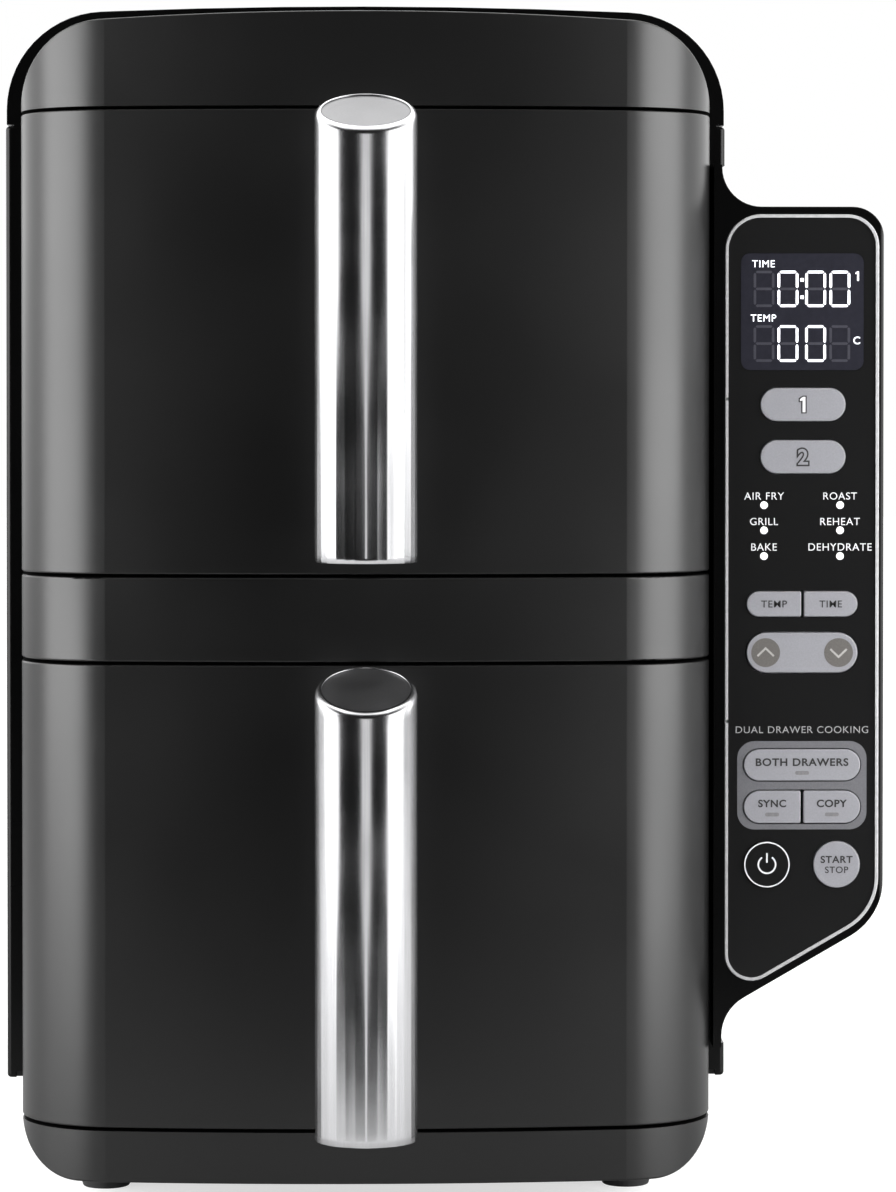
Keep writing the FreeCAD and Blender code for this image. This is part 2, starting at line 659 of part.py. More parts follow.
# ---------------------------------------------------------------- control pod
def pod_corners(inset):
    """Front view of the pod as (x, z, radius). The lower edge slopes and both roots are hollowed."""
    slope = math.tan(math.radians(pod_slope))
    lift = inset / math.cos(math.radians(pod_slope))
    right = pod_x - inset
    outer_z = pod_slope_z - inset * slope + lift
    bracket = pod_bracket_x - inset
    inner_z = pod_slope_z - (pod_x - bracket) * slope + lift
    return [(pod_inner_x + inset, pod_low_z + inset, 0), (bracket, pod_low_z + inset, 0),
            (bracket, inner_z, 14 + inset), (right, outer_z, 21 - inset),
            (right, pod_top_z - inset, 10 - inset), (bracket, pod_top_z - inset, 12.5 + inset),
            (bracket, pod_high_z - inset, 0), (pod_inner_x + inset, pod_high_z - inset, 0)]


def panel_corners(inset):
    """Outline of the bezel ring as (x, z, radius)."""
    slope = math.tan(math.radians(pod_slope))
    lift = inset / math.cos(math.radians(pod_slope))
    left, right, top = bezel_left + inset, bezel_right - inset, bezel_top_z - inset
    right_z = bezel_slope_z - inset * slope + lift
    left_z = bezel_slope_z - (bezel_right - left) * slope + lift
    return [(left, left_z, 8.5 - inset), (right, right_z, 19 - inset),
            (right, top, 10 - inset), (left, top, 11.4 - inset)]


def pod_plan(inset):
    """Plan view of the pod as (x, y, radius): square to the front, swept back to the cabinet's side."""
    inner = side_cover_x - cover_t + 0.2
    return [(pod_inner_x, pod_front_y + inset, 0), (pod_x - inset, pod_front_y + inset, 1.2),
            (pod_x - inset, 66 - inset, 22), (side_cover_x - 0.6, pod_back_y - inset, 0),
            (inner, pod_back_y - inset, 0), (inner, shell_y, 0), (pod_inner_x, shell_y, 0)]


def control_housing():
    z1, z2 = pod_low_z, pod_high_z
    outer = prism_y(pod_corners(0), pod_front_y, pod_back_y)
    outer = outer.common(prism_z(pod_plan(0), z1, z2))
    room = prism_y(panel_corners(0), pod_front_y - 1, pod_back_y)
    room = room.common(prism_z([(116, pod_front_y - 2, 0), (pod_x - pod_wall, pod_front_y - 2, 0),
                                (pod_x - pod_wall, 64, 20), (116, 124, 0)], z1, z2))
    lead_in = prism_y(panel_corners(-0.06), pod_front_y - 1, pod_front_y + 8)
    wires = box(pod_inner_x, 118, 64, 88, 130, 250)
    save("control_housing", outer.cut([room, lead_in, wires]))


def pill(x1, x2, z1, z2, y1, y2, left=True, right=True):
    """Key outline with full rounds at the chosen ends."""
    r = (z2 - z1) / 2 - 0.05
    lr, rr = r if left else 0.6, r if right else 0.6
    return prism_y([(x1, z1, lr), (x2, z1, rr), (x2, z2, rr), (x1, z2, lr)], y1, y2)


# Keys as x1, x2, z1, z2 and which ends are round
keys = {
    "zone_1_key": (125.2, 152.2, 248.0, 258.5, True, True),
    "zone_2_key": (125.2, 152.2, 231.4, 241.9, True, True),
    "temp_key": (120.9, 138.2, 185.9, 193.9, True, False),
    "time_key": (139.1, 156.1, 185.9, 193.9, False, True),
    "adjust_rocker": (120.9, 156.1, 168.1, 180.8, True, True),
    "both_zones_key": (120.0, 157.1, 133.7, 143.7, True, True),
    "sync_key": (120.0, 138.1, 120.2, 130.5, True, False),
    "copy_key": (139.0, 157.1, 120.2, 130.5, False, True),
    "power_key": (120.0, 134.8, 99.6, 114.4, True, True),
    "start_key": (142.2, 157.0, 99.6, 114.4, True, True),
}
display = (119.0, 158.0, 264.2, 301.2)
mode_light_x = (126.4, 150.6)
mode_light_z = (221.3, 213.3, 205.1)
mode_light_r = 1.2


def control_panel():
    """Bezel ring, fascia, display, lights, board and the keys behind their holes."""
    ring = prism_y(panel_corners(0), panel_face_y - 0.5, panel_face_y + 3)
    ring = rim_fillet(ring, 0.35, lambda e: abs(e.BoundBox.YMax - panel_face_y + 0.5) < 1e-3)
    ring = ring.cut(prism_y(panel_corners(bezel_w), panel_face_y - 1, panel_face_y + 4))
    notches = [box(113, 115.5, panel_face_y - 1, panel_face_y + 0.6, z - 0.45, z + 0.45)
               for z in (255.0, 152.6)]
    save("panel_bezel", ring.cut(notches))

    face = prism_y(panel_corners(bezel_w), panel_face_y, panel_face_y + panel_t)
    holes = []
    for name, (x1, x2, z1, z2, left, right) in keys.items():
        g = key_gap + (0.15 if name == "adjust_rocker" else 0)
        outer_left, outer_right = (g if left else 0.5), (g if right else 0.5)
        holes.append(pill(x1 - outer_left, x2 + outer_right, z1 - g, z2 + g,
                          panel_face_y - 1, panel_face_y + panel_t + 1, left, right))
    x1, x2, z1, z2 = display
    holes.append(prism_y(rectangle(x1 - 0.1, x2 + 0.1, z1 - 0.1, z2 + 0.1, 3.1),
                         panel_face_y - 1, panel_face_y + panel_t + 1))
    lights = [(x, z) for x in mode_light_x for z in mode_light_z]
    holes += [rod_y(x, z, mode_light_r + 0.06, panel_face_y - 1, panel_face_y + panel_t + 1)
              for x, z in lights]
    posts = [rod_y(x, z, 2, panel_face_y + 1, board_y)
             for x, z in ((122, 158), (154.5, 158), (122, 304.8), (154.5, 304.8), (138.5, 213))]
    save("panel_fascia", fuse([face.cut(holes)] + posts + rocker_bearings()))

    save("mode_lights", Part.makeCompound([rod_y(x, z, mode_light_r, panel_face_y - 0.1, board_y)
                                           for x, z in lights]))
    back = panel_face_y + panel_t
    lens = [prism_y(rectangle(x1, x2, z1, z2, 3), panel_face_y - 0.05, back + 1),
            prism_y(rectangle(x1 - 1, x2 + 1, z1 - 1, z2 + 1, 3.5), back, back + 1)]
    save("display_lens", fuse(lens))
    save("display_module", box(x1 + 2, x2 - 2, back + 1, board_y, z1 + 2, z2 - 2))

    outline = [(118, 104, 4), (158, 104, 4), (158, 307, 4), (118, 307, 4)]
    board = [prism_y(outline, board_y, board_y + 1.6)]
    for name, (x1, x2, z1, z2, left, right) in keys.items():
        mid_x, mid_z = (x1 + x2) / 2, (z1 + z2) / 2
        spots = (mid_x - rocker_stem_x, mid_x + rocker_stem_x) if name == "adjust_rocker" else (mid_x,)
        board += [box(x - 3, x + 3, board_y - switch_t, board_y + 0.1, mid_z - 3, mid_z + 3) for x in spots]
    save("control_board", fuse(board))
    for name, spec in keys.items():
        save(name, key_body(name, *spec))


def rocker_bearings():
    """Two blocks behind the fascia, above and below the rocker, that hold its pivot pins."""
    x1, x2, z1, z2 = keys["adjust_rocker"][:4]
    middle = (x1 + x2) / 2
    first, last = key_flange + 0.3, key_flange + 1.9
    blocks = [box(middle - 2.6, middle + 2.6, panel_face_y + panel_t - 0.1, pivot_y + 2.2, low, high)
              for low, high in ((z1 - last, z1 - first), (z2 + first, z2 + last))]
    bore = rod_z(middle, pivot_y, pivot_r + shaft_clearance, z1 - last - 1, z2 + last + 1)
    return [block.cut(bore) for block in blocks]


def key_body(name, x1, x2, z1, z2, left, right):
    """Cap proud of the fascia, a retaining flange behind it and a stem towards its switch."""
    front = panel_face_y - key_proud
    back = key_flange_y + key_flange_t
    mid_x, mid_z = (x1 + x2) / 2, (z1 + z2) / 2
    cap = pill(x1, x2, z1, z2, front, back, left, right)
    cap = rim_fillet(cap, 0.35, lambda e: abs(e.BoundBox.YMax - front) < 1e-3)
    flange_left, flange_right = (key_flange if left else 0.0), (key_flange if right else 0.0)
    flange = pill(x1 - flange_left, x2 + flange_right, z1 - key_flange, z2 + key_flange,
                  key_flange_y, back, left, right)
    if name == "adjust_rocker":
        behind = [rod_y(mid_x + side * rocker_stem_x, mid_z, stem_r, key_flange_y + 0.5, stem_y)
                  for side in (-1, 1)]
        behind.append(rod_z(mid_x, pivot_y, pivot_r, z1 - key_flange - 2, z2 + key_flange + 2))
    else:
        behind = [rod_y(mid_x, mid_z, stem_r, key_flange_y + 0.5, stem_y)]
    return fuse([cap, flange] + behind)


# ---------------------------------------------------------------- build and export
front_frame()
housing_shell()
side_covers()
base_pan()
rear_cover()
power_board()
chamber_fittings()
control_housing()
control_panel()
for cell, height in cell_z.items():
    drawer_front(cell, height)
    handle(cell, height)
    basket(cell, height)
    crisper_plate(cell, height)
    chamber(cell, height)
    heater(cell, height)
    fan_guard(cell, height)
    motor(cell, height)
    fans(cell, height)

os.makedirs("parts", exist_ok=True)
for node, shape in parts.items():
    shape.exportStep(os.path.join("parts", node + ".step"))
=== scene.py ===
import json
import math

import bmesh
import bpy
from mathutils import Matrix, Vector


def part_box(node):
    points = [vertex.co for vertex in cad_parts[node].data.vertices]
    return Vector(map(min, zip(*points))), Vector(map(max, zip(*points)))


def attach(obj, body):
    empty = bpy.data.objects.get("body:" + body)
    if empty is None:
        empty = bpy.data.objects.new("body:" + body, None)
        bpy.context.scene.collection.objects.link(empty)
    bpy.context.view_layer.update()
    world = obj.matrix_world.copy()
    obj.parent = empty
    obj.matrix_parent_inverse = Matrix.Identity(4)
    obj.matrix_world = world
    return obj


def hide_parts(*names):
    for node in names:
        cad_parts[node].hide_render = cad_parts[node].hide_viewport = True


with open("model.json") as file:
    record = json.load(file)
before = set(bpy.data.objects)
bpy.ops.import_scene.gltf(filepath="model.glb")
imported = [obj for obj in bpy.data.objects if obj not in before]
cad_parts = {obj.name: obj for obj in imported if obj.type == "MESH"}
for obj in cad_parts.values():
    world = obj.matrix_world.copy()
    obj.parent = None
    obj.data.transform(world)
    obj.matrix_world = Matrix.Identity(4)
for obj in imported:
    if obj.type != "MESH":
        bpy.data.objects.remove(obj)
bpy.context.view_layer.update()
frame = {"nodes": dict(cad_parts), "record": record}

MM = 0.001

# ---------------------------------------------------------------- sizes of what is drawn here
PRINT_DEPTH = 0.05 * MM            # thickness of ink, lit segments and key symbols
PRINT_LIFT = 0.02 * MM             # how far ink stands off the face under it
TEXT_DEPTH = 0.05                  # of a letter as it is made, in the font's own unit
LETTER_SPACING = 1.10
BLUNTEST_MITRE = 0.4               # keeps the corners of a stroke from growing long

LENS_FLANGE = 1.0 * MM             # hidden edge of the display window, behind the fascia
KEY_FLANGE = 0.9 * MM              # hidden edge of a key, behind the fascia
KEY_GAP = 0.35 * MM                # between a key's cap and the grey field round it

HANDLE_SLOPE = math.radians(22.9)  # slope of a handle's top, lower at the front
HANDLE_WALL = 0.42 * MM
RIM_ROUND = 2.0 * MM               # round edge at the top of a handle's sleeve
FOOT_ROUND = 0.5 * MM              # round edge at its bottom
WEB_HALF = 7.4 * MM                # half the slot behind a handle, where its web enters
SLOT_BELOW_TOP = 6.0 * MM          # where that slot ends
SLEEVE_STEPS, SLEEVE_LEVELS = 240, 60
FACET_STEP = math.radians(12)      # width of one flat on the lower half of a handle
RIDGE_REACH = math.radians(40)     # how far the hollows beside the front ridge reach
RIDGE_HOLLOW = 0.020               # their depth, as a share of the handle's radius
FLATS_GROWTH, FLATS_DELAY = 1.75, 0.55   # they start DELAY / GROWTH of the way down, full 1 / GROWTH on

# Camera, in front of the drawers and opposite the middle of the cabinet
CAMERA_DISTANCE = 1.300
CAMERA_HEIGHT = 0.2531
CAMERA_PITCH = math.radians(0.9789)    # looking down
CAMERA_YAW = math.radians(1.1180)      # looking right
SENSOR_MM = 36.0                       # height of the picture on the sensor
LENS_MM = 126.906
LENS_SHIFT = -0.10                     # of the picture's height

FLOOR_REACH = 0.28                 # of the bright floor in front of the drawers
FLOOR_HALF, FLOOR_BACK = 6.0, 8.0
FLOOR_DARK, FLOOR_LIGHT = (0.44, 0.44, 0.44), (0.46, 0.46, 0.46)
FLOOR_LIFT = 0.65                  # light of its own that the camera sees in it

ROOM_DARK, ROOM_WHITE = (0.002, 0.002, 0.002), (1, 1, 1)
ROOM_DARK_TO, ROOM_WHITE_FROM = 0.42, 0.66   # from 0 behind the camera to 1 behind the object
ROOM_STRENGTH = 2.2
SOFTBOX_TALL = 1.6
SOFTBOX_Z = 0.35
AIM_Z = 0.19                       # softboxes point at the middle of the cabinet, at this height


# ---------------------------------------------------------------- places, read from the frame
def box_of(node):
    low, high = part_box(node)
    return Vector(low), Vector(high)


FRONT_LOW, FRONT_HIGH = box_of("drawer_front_upper")
CABINET_X = (FRONT_LOW.x + FRONT_HIGH.x) / 2
FRONT_Y = FRONT_LOW.y
PANEL_Y = box_of("panel_fascia")[0].y
AIM = (CABINET_X, 0.0, AIM_Z)
LENS_LOW, LENS_HIGH = box_of("display_lens")
DISPLAY_LEFT = LENS_LOW.x + LENS_FLANGE
DISPLAY_TOP = LENS_HIGH.z - LENS_FLANGE


# ---------------------------------------------------------------- materials
def new_material(name):
    material = bpy.data.materials.new(name)
    material.use_nodes = True
    tree = material.node_tree
    shader = tree.nodes["Principled BSDF"]
    return material, tree, shader


def noise(tree, scale, detail, stretch=(1, 1, 1)):
    """Noise in object space. scale is in cycles a metre, stretch multiplies it along each axis."""
    coords = tree.nodes.new("ShaderNodeTexCoord")
    mapping = tree.nodes.new("ShaderNodeMapping")
    texture = tree.nodes.new("ShaderNodeTexNoise")
    mapping.inputs["Scale"].default_value = stretch
    texture.inputs["Scale"].default_value = scale
    texture.inputs["Detail"].default_value = detail
    tree.links.new(coords.outputs["Object"], mapping.inputs["Vector"])
    tree.links.new(mapping.outputs["Vector"], texture.inputs["Vector"])
    return texture.outputs["Fac"]


NOISE_LOW, NOISE_HIGH = 0.3, 0.7     # range that most of a noise stays in


def spread(tree, fac, low, high):
    """Maps a noise onto low to high."""
    node = tree.nodes.new("ShaderNodeMapRange")
    node.inputs["From Min"].default_value = NOISE_LOW
    node.inputs["From Max"].default_value = NOISE_HIGH
    node.inputs["To Min"].default_value = low
    node.inputs["To Max"].default_value = high
    tree.links.new(fac, node.inputs["Value"])
    return node.outputs["Result"]


def tint(tree, fac, dark, light, start=NOISE_LOW, end=NOISE_HIGH):
    """Colour that goes from dark to light as fac goes from start to end."""
    ramp = tree.nodes.new("ShaderNodeValToRGB")
    for element, position, colour in zip(ramp.color_ramp.elements, (start, end), (dark, light)):
        element.position = position
        element.color = (*colour, 1)
    tree.links.new(fac, ramp.inputs["Fac"])
    return ramp.outputs["Color"]


def bump(tree, shader, fac, strength, distance):
    node = tree.nodes.new("ShaderNodeBump")
    node.inputs["Strength"].default_value = strength
    node.inputs["Distance"].default_value = distance
    tree.links.new(fac, node.inputs["Height"])
    tree.links.new(node.outputs["Normal"], shader.inputs["Normal"])


def moulded(name, colour, rough, grain=2400, grain_depth=0.02, variation=0.10, shine=0.5):
    """Moulded or painted plastic: a fine grain, and slow drifts of gloss and colour over it."""
    material, tree, shader = new_material(name)
    drift = noise(tree, 14, 3)
    fine = noise(tree, grain, 2)
    dark = [c * (1 - variation) for c in colour]
    light = [c * (1 + variation) for c in colour]
    tree.links.new(tint(tree, fine, dark, light), shader.inputs["Base Color"])
    tree.links.new(spread(tree, drift, rough * 0.93, rough * 1.07), shader.inputs["Roughness"])
    shader.inputs["Specular IOR Level"].default_value = shine
    bump(tree, shader, fine, 0.35, grain_depth * MM)
    return material


def metal(name, colour, rough, stretch, brush=900, depth=0.004, variation=0.10):
    """Brushed or drawn metal: lines along the axis with the smallest stretch."""
    material, tree, shader = new_material(name)
    lines = noise(tree, brush, 3, stretch)
    cloud = noise(tree, 40, 2)
    dark = [c * (1 - variation) for c in colour]
    shader.inputs["Metallic"].default_value = 1.0
    tree.links.new(tint(tree, lines, dark, colour), shader.inputs["Base Color"])
    tree.links.new(spread(tree, cloud, rough * 0.85, rough * 1.2), shader.inputs["Roughness"])
    bump(tree, shader, lines, 0.4, depth * MM)
    return material


def glowing(name, colour, strength):
    """Lit segment or lamp, a little uneven across its face; also used to give light print a painted glow.
    """
    material, tree, shader = new_material(name)
    cloud = noise(tree, 500, 1)
    dim = [c * 0.92 for c in colour]
    output = tint(tree, cloud, dim, colour)
    tree.links.new(output, shader.inputs["Emission Color"])
    tree.links.new(output, shader.inputs["Base Color"])
    shader.inputs["Emission Strength"].default_value = strength
    shader.inputs["Roughness"].default_value = 0.4
    return material


def speckled(name, colour, rough, fleck):
    """Non-stick coating: dark satin with tiny lighter flecks."""
    material, tree, shader = new_material(name)
    flecks = tint(tree, noise(tree, 1500, 1), colour, fleck, start=0.66, end=0.72)
    tree.links.new(flecks, shader.inputs["Base Color"])
    tree.links.new(spread(tree, noise(tree, 60, 3), rough * 0.85, rough * 1.15), shader.inputs["Roughness"])
    bump(tree, shader, noise(tree, 3000, 2), 0.3, 0.02 * MM)
    return material


def grey(level):
    return (level, level, level * 1.02)


LOOKS = {
    "graphite_front": moulded("graphite_front", grey(0.0008), 0.36, grain=2600, grain_depth=0.010),
    "black_gloss": moulded("black_gloss", grey(0.0012), 0.26, grain=500, grain_depth=0.002, shine=0.18),
    "black_plastic": moulded("black_plastic", grey(0.010), 0.45, grain=1800, grain_depth=0.03),
    "rubber_black": moulded("rubber_black", grey(0.012), 0.75, grain=1200, grain_depth=0.04),
    "silicone_black": moulded("silicone_black", grey(0.020), 0.60, grain=1500, grain_depth=0.02),
    "screw_steel": metal("screw_steel", grey(0.30), 0.32, (1, 1, 1), brush=1500),
    "sheet_steel": metal("sheet_steel", grey(0.50), 0.30, (1, 0.03, 1)),
    "fan_aluminium": metal("fan_aluminium", grey(0.72), 0.34, (1, 1, 1), brush=1200),
    "fan_plastic": moulded("fan_plastic", grey(0.03), 0.5),
    "nonstick_grey": speckled("nonstick_grey", grey(0.030), 0.34, grey(0.09)),
    "stainless": metal("stainless", grey(0.66), 0.21, (1, 1, 0.012), brush=2600, depth=0.0012,
                       variation=0.14),
    "cap_grey": metal("cap_grey", grey(0.19), 0.40, (1, 1, 1), brush=1800, depth=0.001),
    "trim_silver": moulded("trim_silver", grey(0.42), 0.28, grain=900, grain_depth=0.004),
    "panel_black": moulded("panel_black", grey(0.0076), 0.22, grain=2600, grain_depth=0.004),
    "display_glass": moulded("display_glass", (0.020, 0.020, 0.027), 0.10, grain=700, grain_depth=0.001),
    "circuit_board": moulded("circuit_board", (0.012, 0.09, 0.035), 0.4, grain=900, variation=0.3),
    "display_block": moulded("display_block", grey(0.60), 0.5),
    "light_white": glowing("light_white", (0.9, 0.9, 0.9), 0.40),
    "key_silver": moulded("key_silver", (0.250, 0.250, 0.270), 0.38, grain=1900, grain_depth=0.006,
                          variation=0.05),
    # light print, with a faint painted glow added on top of its colour
    "print_with_painted_glow": glowing("print_with_painted_glow", (0.70, 0.70, 0.72), 0.12),
    "print_soft": moulded("print_soft", grey(0.26), 0.5, grain=1500, grain_depth=0.004),
    "print_dark": moulded("print_dark", grey(0.012), 0.5, grain=1500, grain_depth=0.004),
    "print_surround": moulded("print_surround", (0.120, 0.120, 0.130), 0.42, grain=1900, grain_depth=0.006),
    "print_disc": moulded("print_disc", (0.108, 0.101, 0.095), 0.42, grain=1900, grain_depth=0.006),
    "print_chevron": moulded("print_chevron", (0.36, 0.35, 0.335), 0.45, grain=1500, grain_depth=0.004),
    "print_bar": moulded("print_bar", (0.165, 0.162, 0.168), 0.45, grain=1500, grain_depth=0.004),
    "segment_lit": glowing("segment_lit", (0.93, 0.94, 1.0), 1.2),
    "segment_off": moulded("segment_off", (0.048, 0.048, 0.060), 0.3, grain=700, grain_depth=0.002),
}


def paint(obj, look):
    obj.data.materials.clear()
    obj.data.materials.append(LOOKS[look])


def paint_cad():
    """Every CAD node takes the look of its own material slot."""
    for entry in frame["record"]["subparts"]:
        paint(frame["nodes"][entry["node"]], entry["material_slot"])


# ---------------------------------------------------------------- flat pieces: ink, symbols and segments
def flat(loops, face_y, lift=PRINT_LIFT):
    """Mesh of outlines given as (x, z) loops, in front of face_y. A loop inside another is a hole."""
    curve = bpy.data.curves.new("outline", "CURVE")
    curve.dimensions = "2D"
    curve.fill_mode = "BOTH"
    curve.extrude = PRINT_DEPTH / 2
    for loop in loops:
        spline = curve.splines.new("POLY")
        spline.points.add(len(loop) - 1)
        spline.use_cyclic_u = True
        for point, (x, z) in zip(spline.points, loop):
            point.co = (x, z, 0, 1)
    return as_mesh(curve, face_y, lift)


def as_mesh(curve, face_y, lift):
    """Turns a curve or text drawn in its own XY plane into a mesh that faces -Y."""
    holder = bpy.data.objects.new("holder", curve)
    bpy.context.collection.objects.link(holder)
    mesh = bpy.data.meshes.new_from_object(holder.evaluated_get(bpy.context.evaluated_depsgraph_get()))
    bpy.data.objects.remove(holder)
    upright = Matrix.Rotation(math.radians(90), 4, "X")
    mesh.transform(Matrix.Translation((0, face_y - lift - PRINT_DEPTH / 2, 0)) @ upright)
    return mesh


def lettering(text, x, z, height, face_y, width=None, weight=0.0):
    """Capitals of that height, centred at x, z. width squeezes or stretches them, weight thickens them."""
    curve = bpy.data.curves.new("words", "FONT")
    curve.body = text
    curve.extrude = TEXT_DEPTH
    curve.offset = weight
    curve.space_character = LETTER_SPACING
    mesh = as_mesh(curve, 0, 0)
    xs = [v.co.x for v in mesh.vertices]
    zs = [v.co.z for v in mesh.vertices]
    tall = height / (max(zs) - min(zs))
    wide = width / (max(xs) - min(xs)) if width else tall
    middle_x, middle_z = (min(xs) + max(xs)) / 2, (min(zs) + max(zs)) / 2
    for vertex in mesh.vertices:
        vertex.co.x = x + (vertex.co.x - middle_x) * wide
        vertex.co.z = z + (vertex.co.z - middle_z) * tall
        vertex.co.y = face_y - PRINT_LIFT - (PRINT_DEPTH if vertex.co.y < -PRINT_DEPTH else 0)
    return mesh


def piece(name, meshes, look, body):
    """Joins meshes into one piece that moves with body."""
    joined = bmesh.new()
    for mesh in meshes:
        joined.from_mesh(mesh)
        bpy.data.meshes.remove(mesh)
    mesh = bpy.data.meshes.new(name)
    joined.to_mesh(mesh)
    joined.free()
    obj = bpy.data.objects.new(name, mesh)
    bpy.context.collection.objects.link(obj)
    paint(obj, look)
    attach(obj, body)


def arc(cx, cz, r, start, end, steps=24):
    angles = [math.radians(start + (end - start) * i / steps) for i in range(steps + 1)]
    return [(cx + r * math.cos(a), cz + r * math.sin(a)) for a in angles]


def circle(cx, cz, r):
    return arc(cx, cz, r, 0, 360, 48)[:-1]


def rounded(x1, x2, z1, z2, r):
    """Rectangle with round corners."""
    return (arc(x2 - r, z2 - r, r, 0, 90, 8) + arc(x1 + r, z2 - r, r, 90, 180, 8)
            + arc(x1 + r, z1 + r, r, 180, 270, 8) + arc(x2 - r, z1 + r, r, 270, 360, 8))


def stroke(points, width):
    """Outline of an open line of even width with flat ends."""
    left, right = [], []
    for i, (x, z) in enumerate(points):
        before = Vector(points[max(i - 1, 0)])
        after = Vector(points[min(i + 1, len(points) - 1)])
        along = (after - before).normalized()
        side = Vector((-along.y, along.x)) * width / 2
        if 0 < i < len(points) - 1:
            turn = (Vector((x, z)) - before).normalized().dot(along)
            side = side / max(turn, BLUNTEST_MITRE)
        left.append((x + side.x, z + side.y))
        right.append((x - side.x, z - side.y))
    return left + right[::-1]


def numeral_one(x, z, height, grow=0.0):
    """Outline of a 1 with a flag, centred at x, z and grown outwards by grow."""
    half, stem, flag = height / 2, 0.19 * height, 0.17 * height
    left = x - stem / 2 + 0.06 * height
    right = left + stem + grow
    top, bottom = z + half + grow, z - half - grow
    flag_root, flag_under = z + half * 0.52 - grow, z + half * 0.44 - grow
    flag_over = z + half * 0.70 + grow * 0.7
    return [(right, top), (right, bottom), (left - grow, bottom), (left - grow, flag_root),
            (left - flag - grow, flag_under), (left - flag - grow, flag_over), (left + 0.02 * height, top)]


# ---------------------------------------------------------------- display
# Places on the window, in mm from its left edge and down from its top edge
DIGIT_COLUMNS = (4.0, 11.6, 20.4, 28.1)
DISPLAY_ROWS = {" 000": (5.5, 17.0), " 00 ": (22.8, 34.4)}
COLON_COLUMN, COLON_DEPTHS = 19.4, (8.4, 13.9)
DISPLAY_WORDS = {"TIME": (7.1, 3.3), "TEMP": (7.1, 20.5)}
ZONE_MARK = (37.0, 7.2)
UNIT_MARK = (36.8, 27.6)

DIGIT_W = 6.6 * MM
SEGMENT_W = 0.80 * MM
SEGMENT_GAP = 0.24 * MM
COLON_HALF, COLON_ROUND = 0.55 * MM, 0.15 * MM
WORD_HEIGHT, ZONE_HEIGHT, UNIT_HEIGHT = 2.2 * MM, 3.0 * MM, 2.4 * MM
ZERO_SEGMENTS, MIDDLE_SEGMENT = "abcdef", "g"


def on_display(column, depth):
    """Place in the frame of a point on the window."""
    return DISPLAY_LEFT + column * MM, DISPLAY_TOP - depth * MM


def segment_loops(x, z_low, z_high, names):
    """The named segments of one seven-segment digit."""
    half = SEGMENT_W / 2
    left, right = x + half, x + DIGIT_W - half
    low, high = z_low + half, z_high - half
    middle = (low + high) / 2
    ends = {"a": ((left, high), (right, high)), "b": ((right, high), (right, middle)),
            "c": ((right, middle), (right, low)), "d": ((left, low), (right, low)),
            "e": ((left, middle), (left, low)), "f": ((left, high), (left, middle)),
            "g": ((left, middle), (right, middle))}
    loops = []
    for name in names:
        start, end = Vector(ends[name][0]), Vector(ends[name][1])
        along = (end - start).normalized()
        side = Vector((-along.y, along.x)) * half
        start, end = start + along * SEGMENT_GAP, end - along * SEGMENT_GAP
        inner_start, inner_end = start + along * half, end - along * half
        loops.append([tuple(p) for p in (start, inner_start + side, inner_end + side, end,
                                         inner_end - side, inner_start - side)])
    return loops


def display():
    """Lit and unlit segments, the colon and the words, all on the window's face."""
    face = LENS_LOW.y
    lit, unlit = [], []
    for digits, (top, bottom) in DISPLAY_ROWS.items():
        for column, digit in zip(DIGIT_COLUMNS, digits):
            x, z_low = on_display(column, bottom)
            z_high = on_display(column, top)[1]
            outer = segment_loops(x, z_low, z_high, ZERO_SEGMENTS)
            if digit == "0":
                lit += outer
            else:
                unlit += outer
            unlit += segment_loops(x, z_low, z_high, MIDDLE_SEGMENT)
    for depth in COLON_DEPTHS:
        x, z = on_display(COLON_COLUMN, depth)
        lit.append(rounded(x - COLON_HALF, x + COLON_HALF, z - COLON_HALF, z + COLON_HALF, COLON_ROUND))
    words = []
    for word, place in DISPLAY_WORDS.items():
        words.append(lettering(word, *on_display(*place), WORD_HEIGHT, face))
    words.append(flat([numeral_one(*on_display(*ZONE_MARK), ZONE_HEIGHT)], face))
    words.append(lettering("C", *on_display(*UNIT_MARK), UNIT_HEIGHT, face, weight=0.01))
    piece("display_segments_lit", [flat([loop], face) for loop in lit] + words, "segment_lit", "cabinet")
    piece("display_segments_off", [flat([loop], face) for loop in unlit], "segment_off", "cabinet")


# ---------------------------------------------------------------- control panel print
MODES = [("AIR FRY", "GRILL", "BAKE"), ("ROAST", "REHEAT", "DEHYDRATE")]
LAMP_R = 1.2 * MM
MODE_TEXT_ABOVE = 2.9 * MM
LABEL_HEIGHT = 2.3 * MM
HEADING, HEADING_ABOVE = "DUAL DRAWER COOKING", 5.3 * MM
HEADING_HEIGHT, HEADING_WIDTH = 2.2 * MM, 42.2 * MM

# Margins of the grey field round the two-drawer keys, and its corner
SURROUND_SIDE, SURROUND_TOP, SURROUND_CORNER = 1.7 * MM, 2.2 * MM, 5.4 * MM
END_FLAT = 0.01 * MM

# Words on keys in mm: the word, its height, how far above the key's middle, its width, its weight
KEY_WORDS = {"temp_key": ("TEMP", 2.2, 0, 8.2, 0.004),
             "time_key": ("TIME", 2.2, 0, 7.2, 0.004),
             "both_zones_key": ("BOTH DRAWERS", 2.5, 0.9, 29.5, 0.024),
             "sync_key": ("SYNC", 2.4, 1.1, 8.9, 0.024),
             "copy_key": ("COPY", 2.4, 1.1, 9.6, 0.024)}
START_WORDS = (("START", 2.3, 1.6, 10.2, 0.022), ("STOP", 2.1, -1.7, 7.4, 0.008))

# Small bar under the word, by key: how far below the key's middle, in mm
KEY_BARS = {"both_zones_key": 2.5, "sync_key": 2.4, "copy_key": 2.4}
BAR_HALF_W, BAR_HALF_H, BAR_ROUND = 2.2 * MM, 0.6 * MM, 0.55 * MM

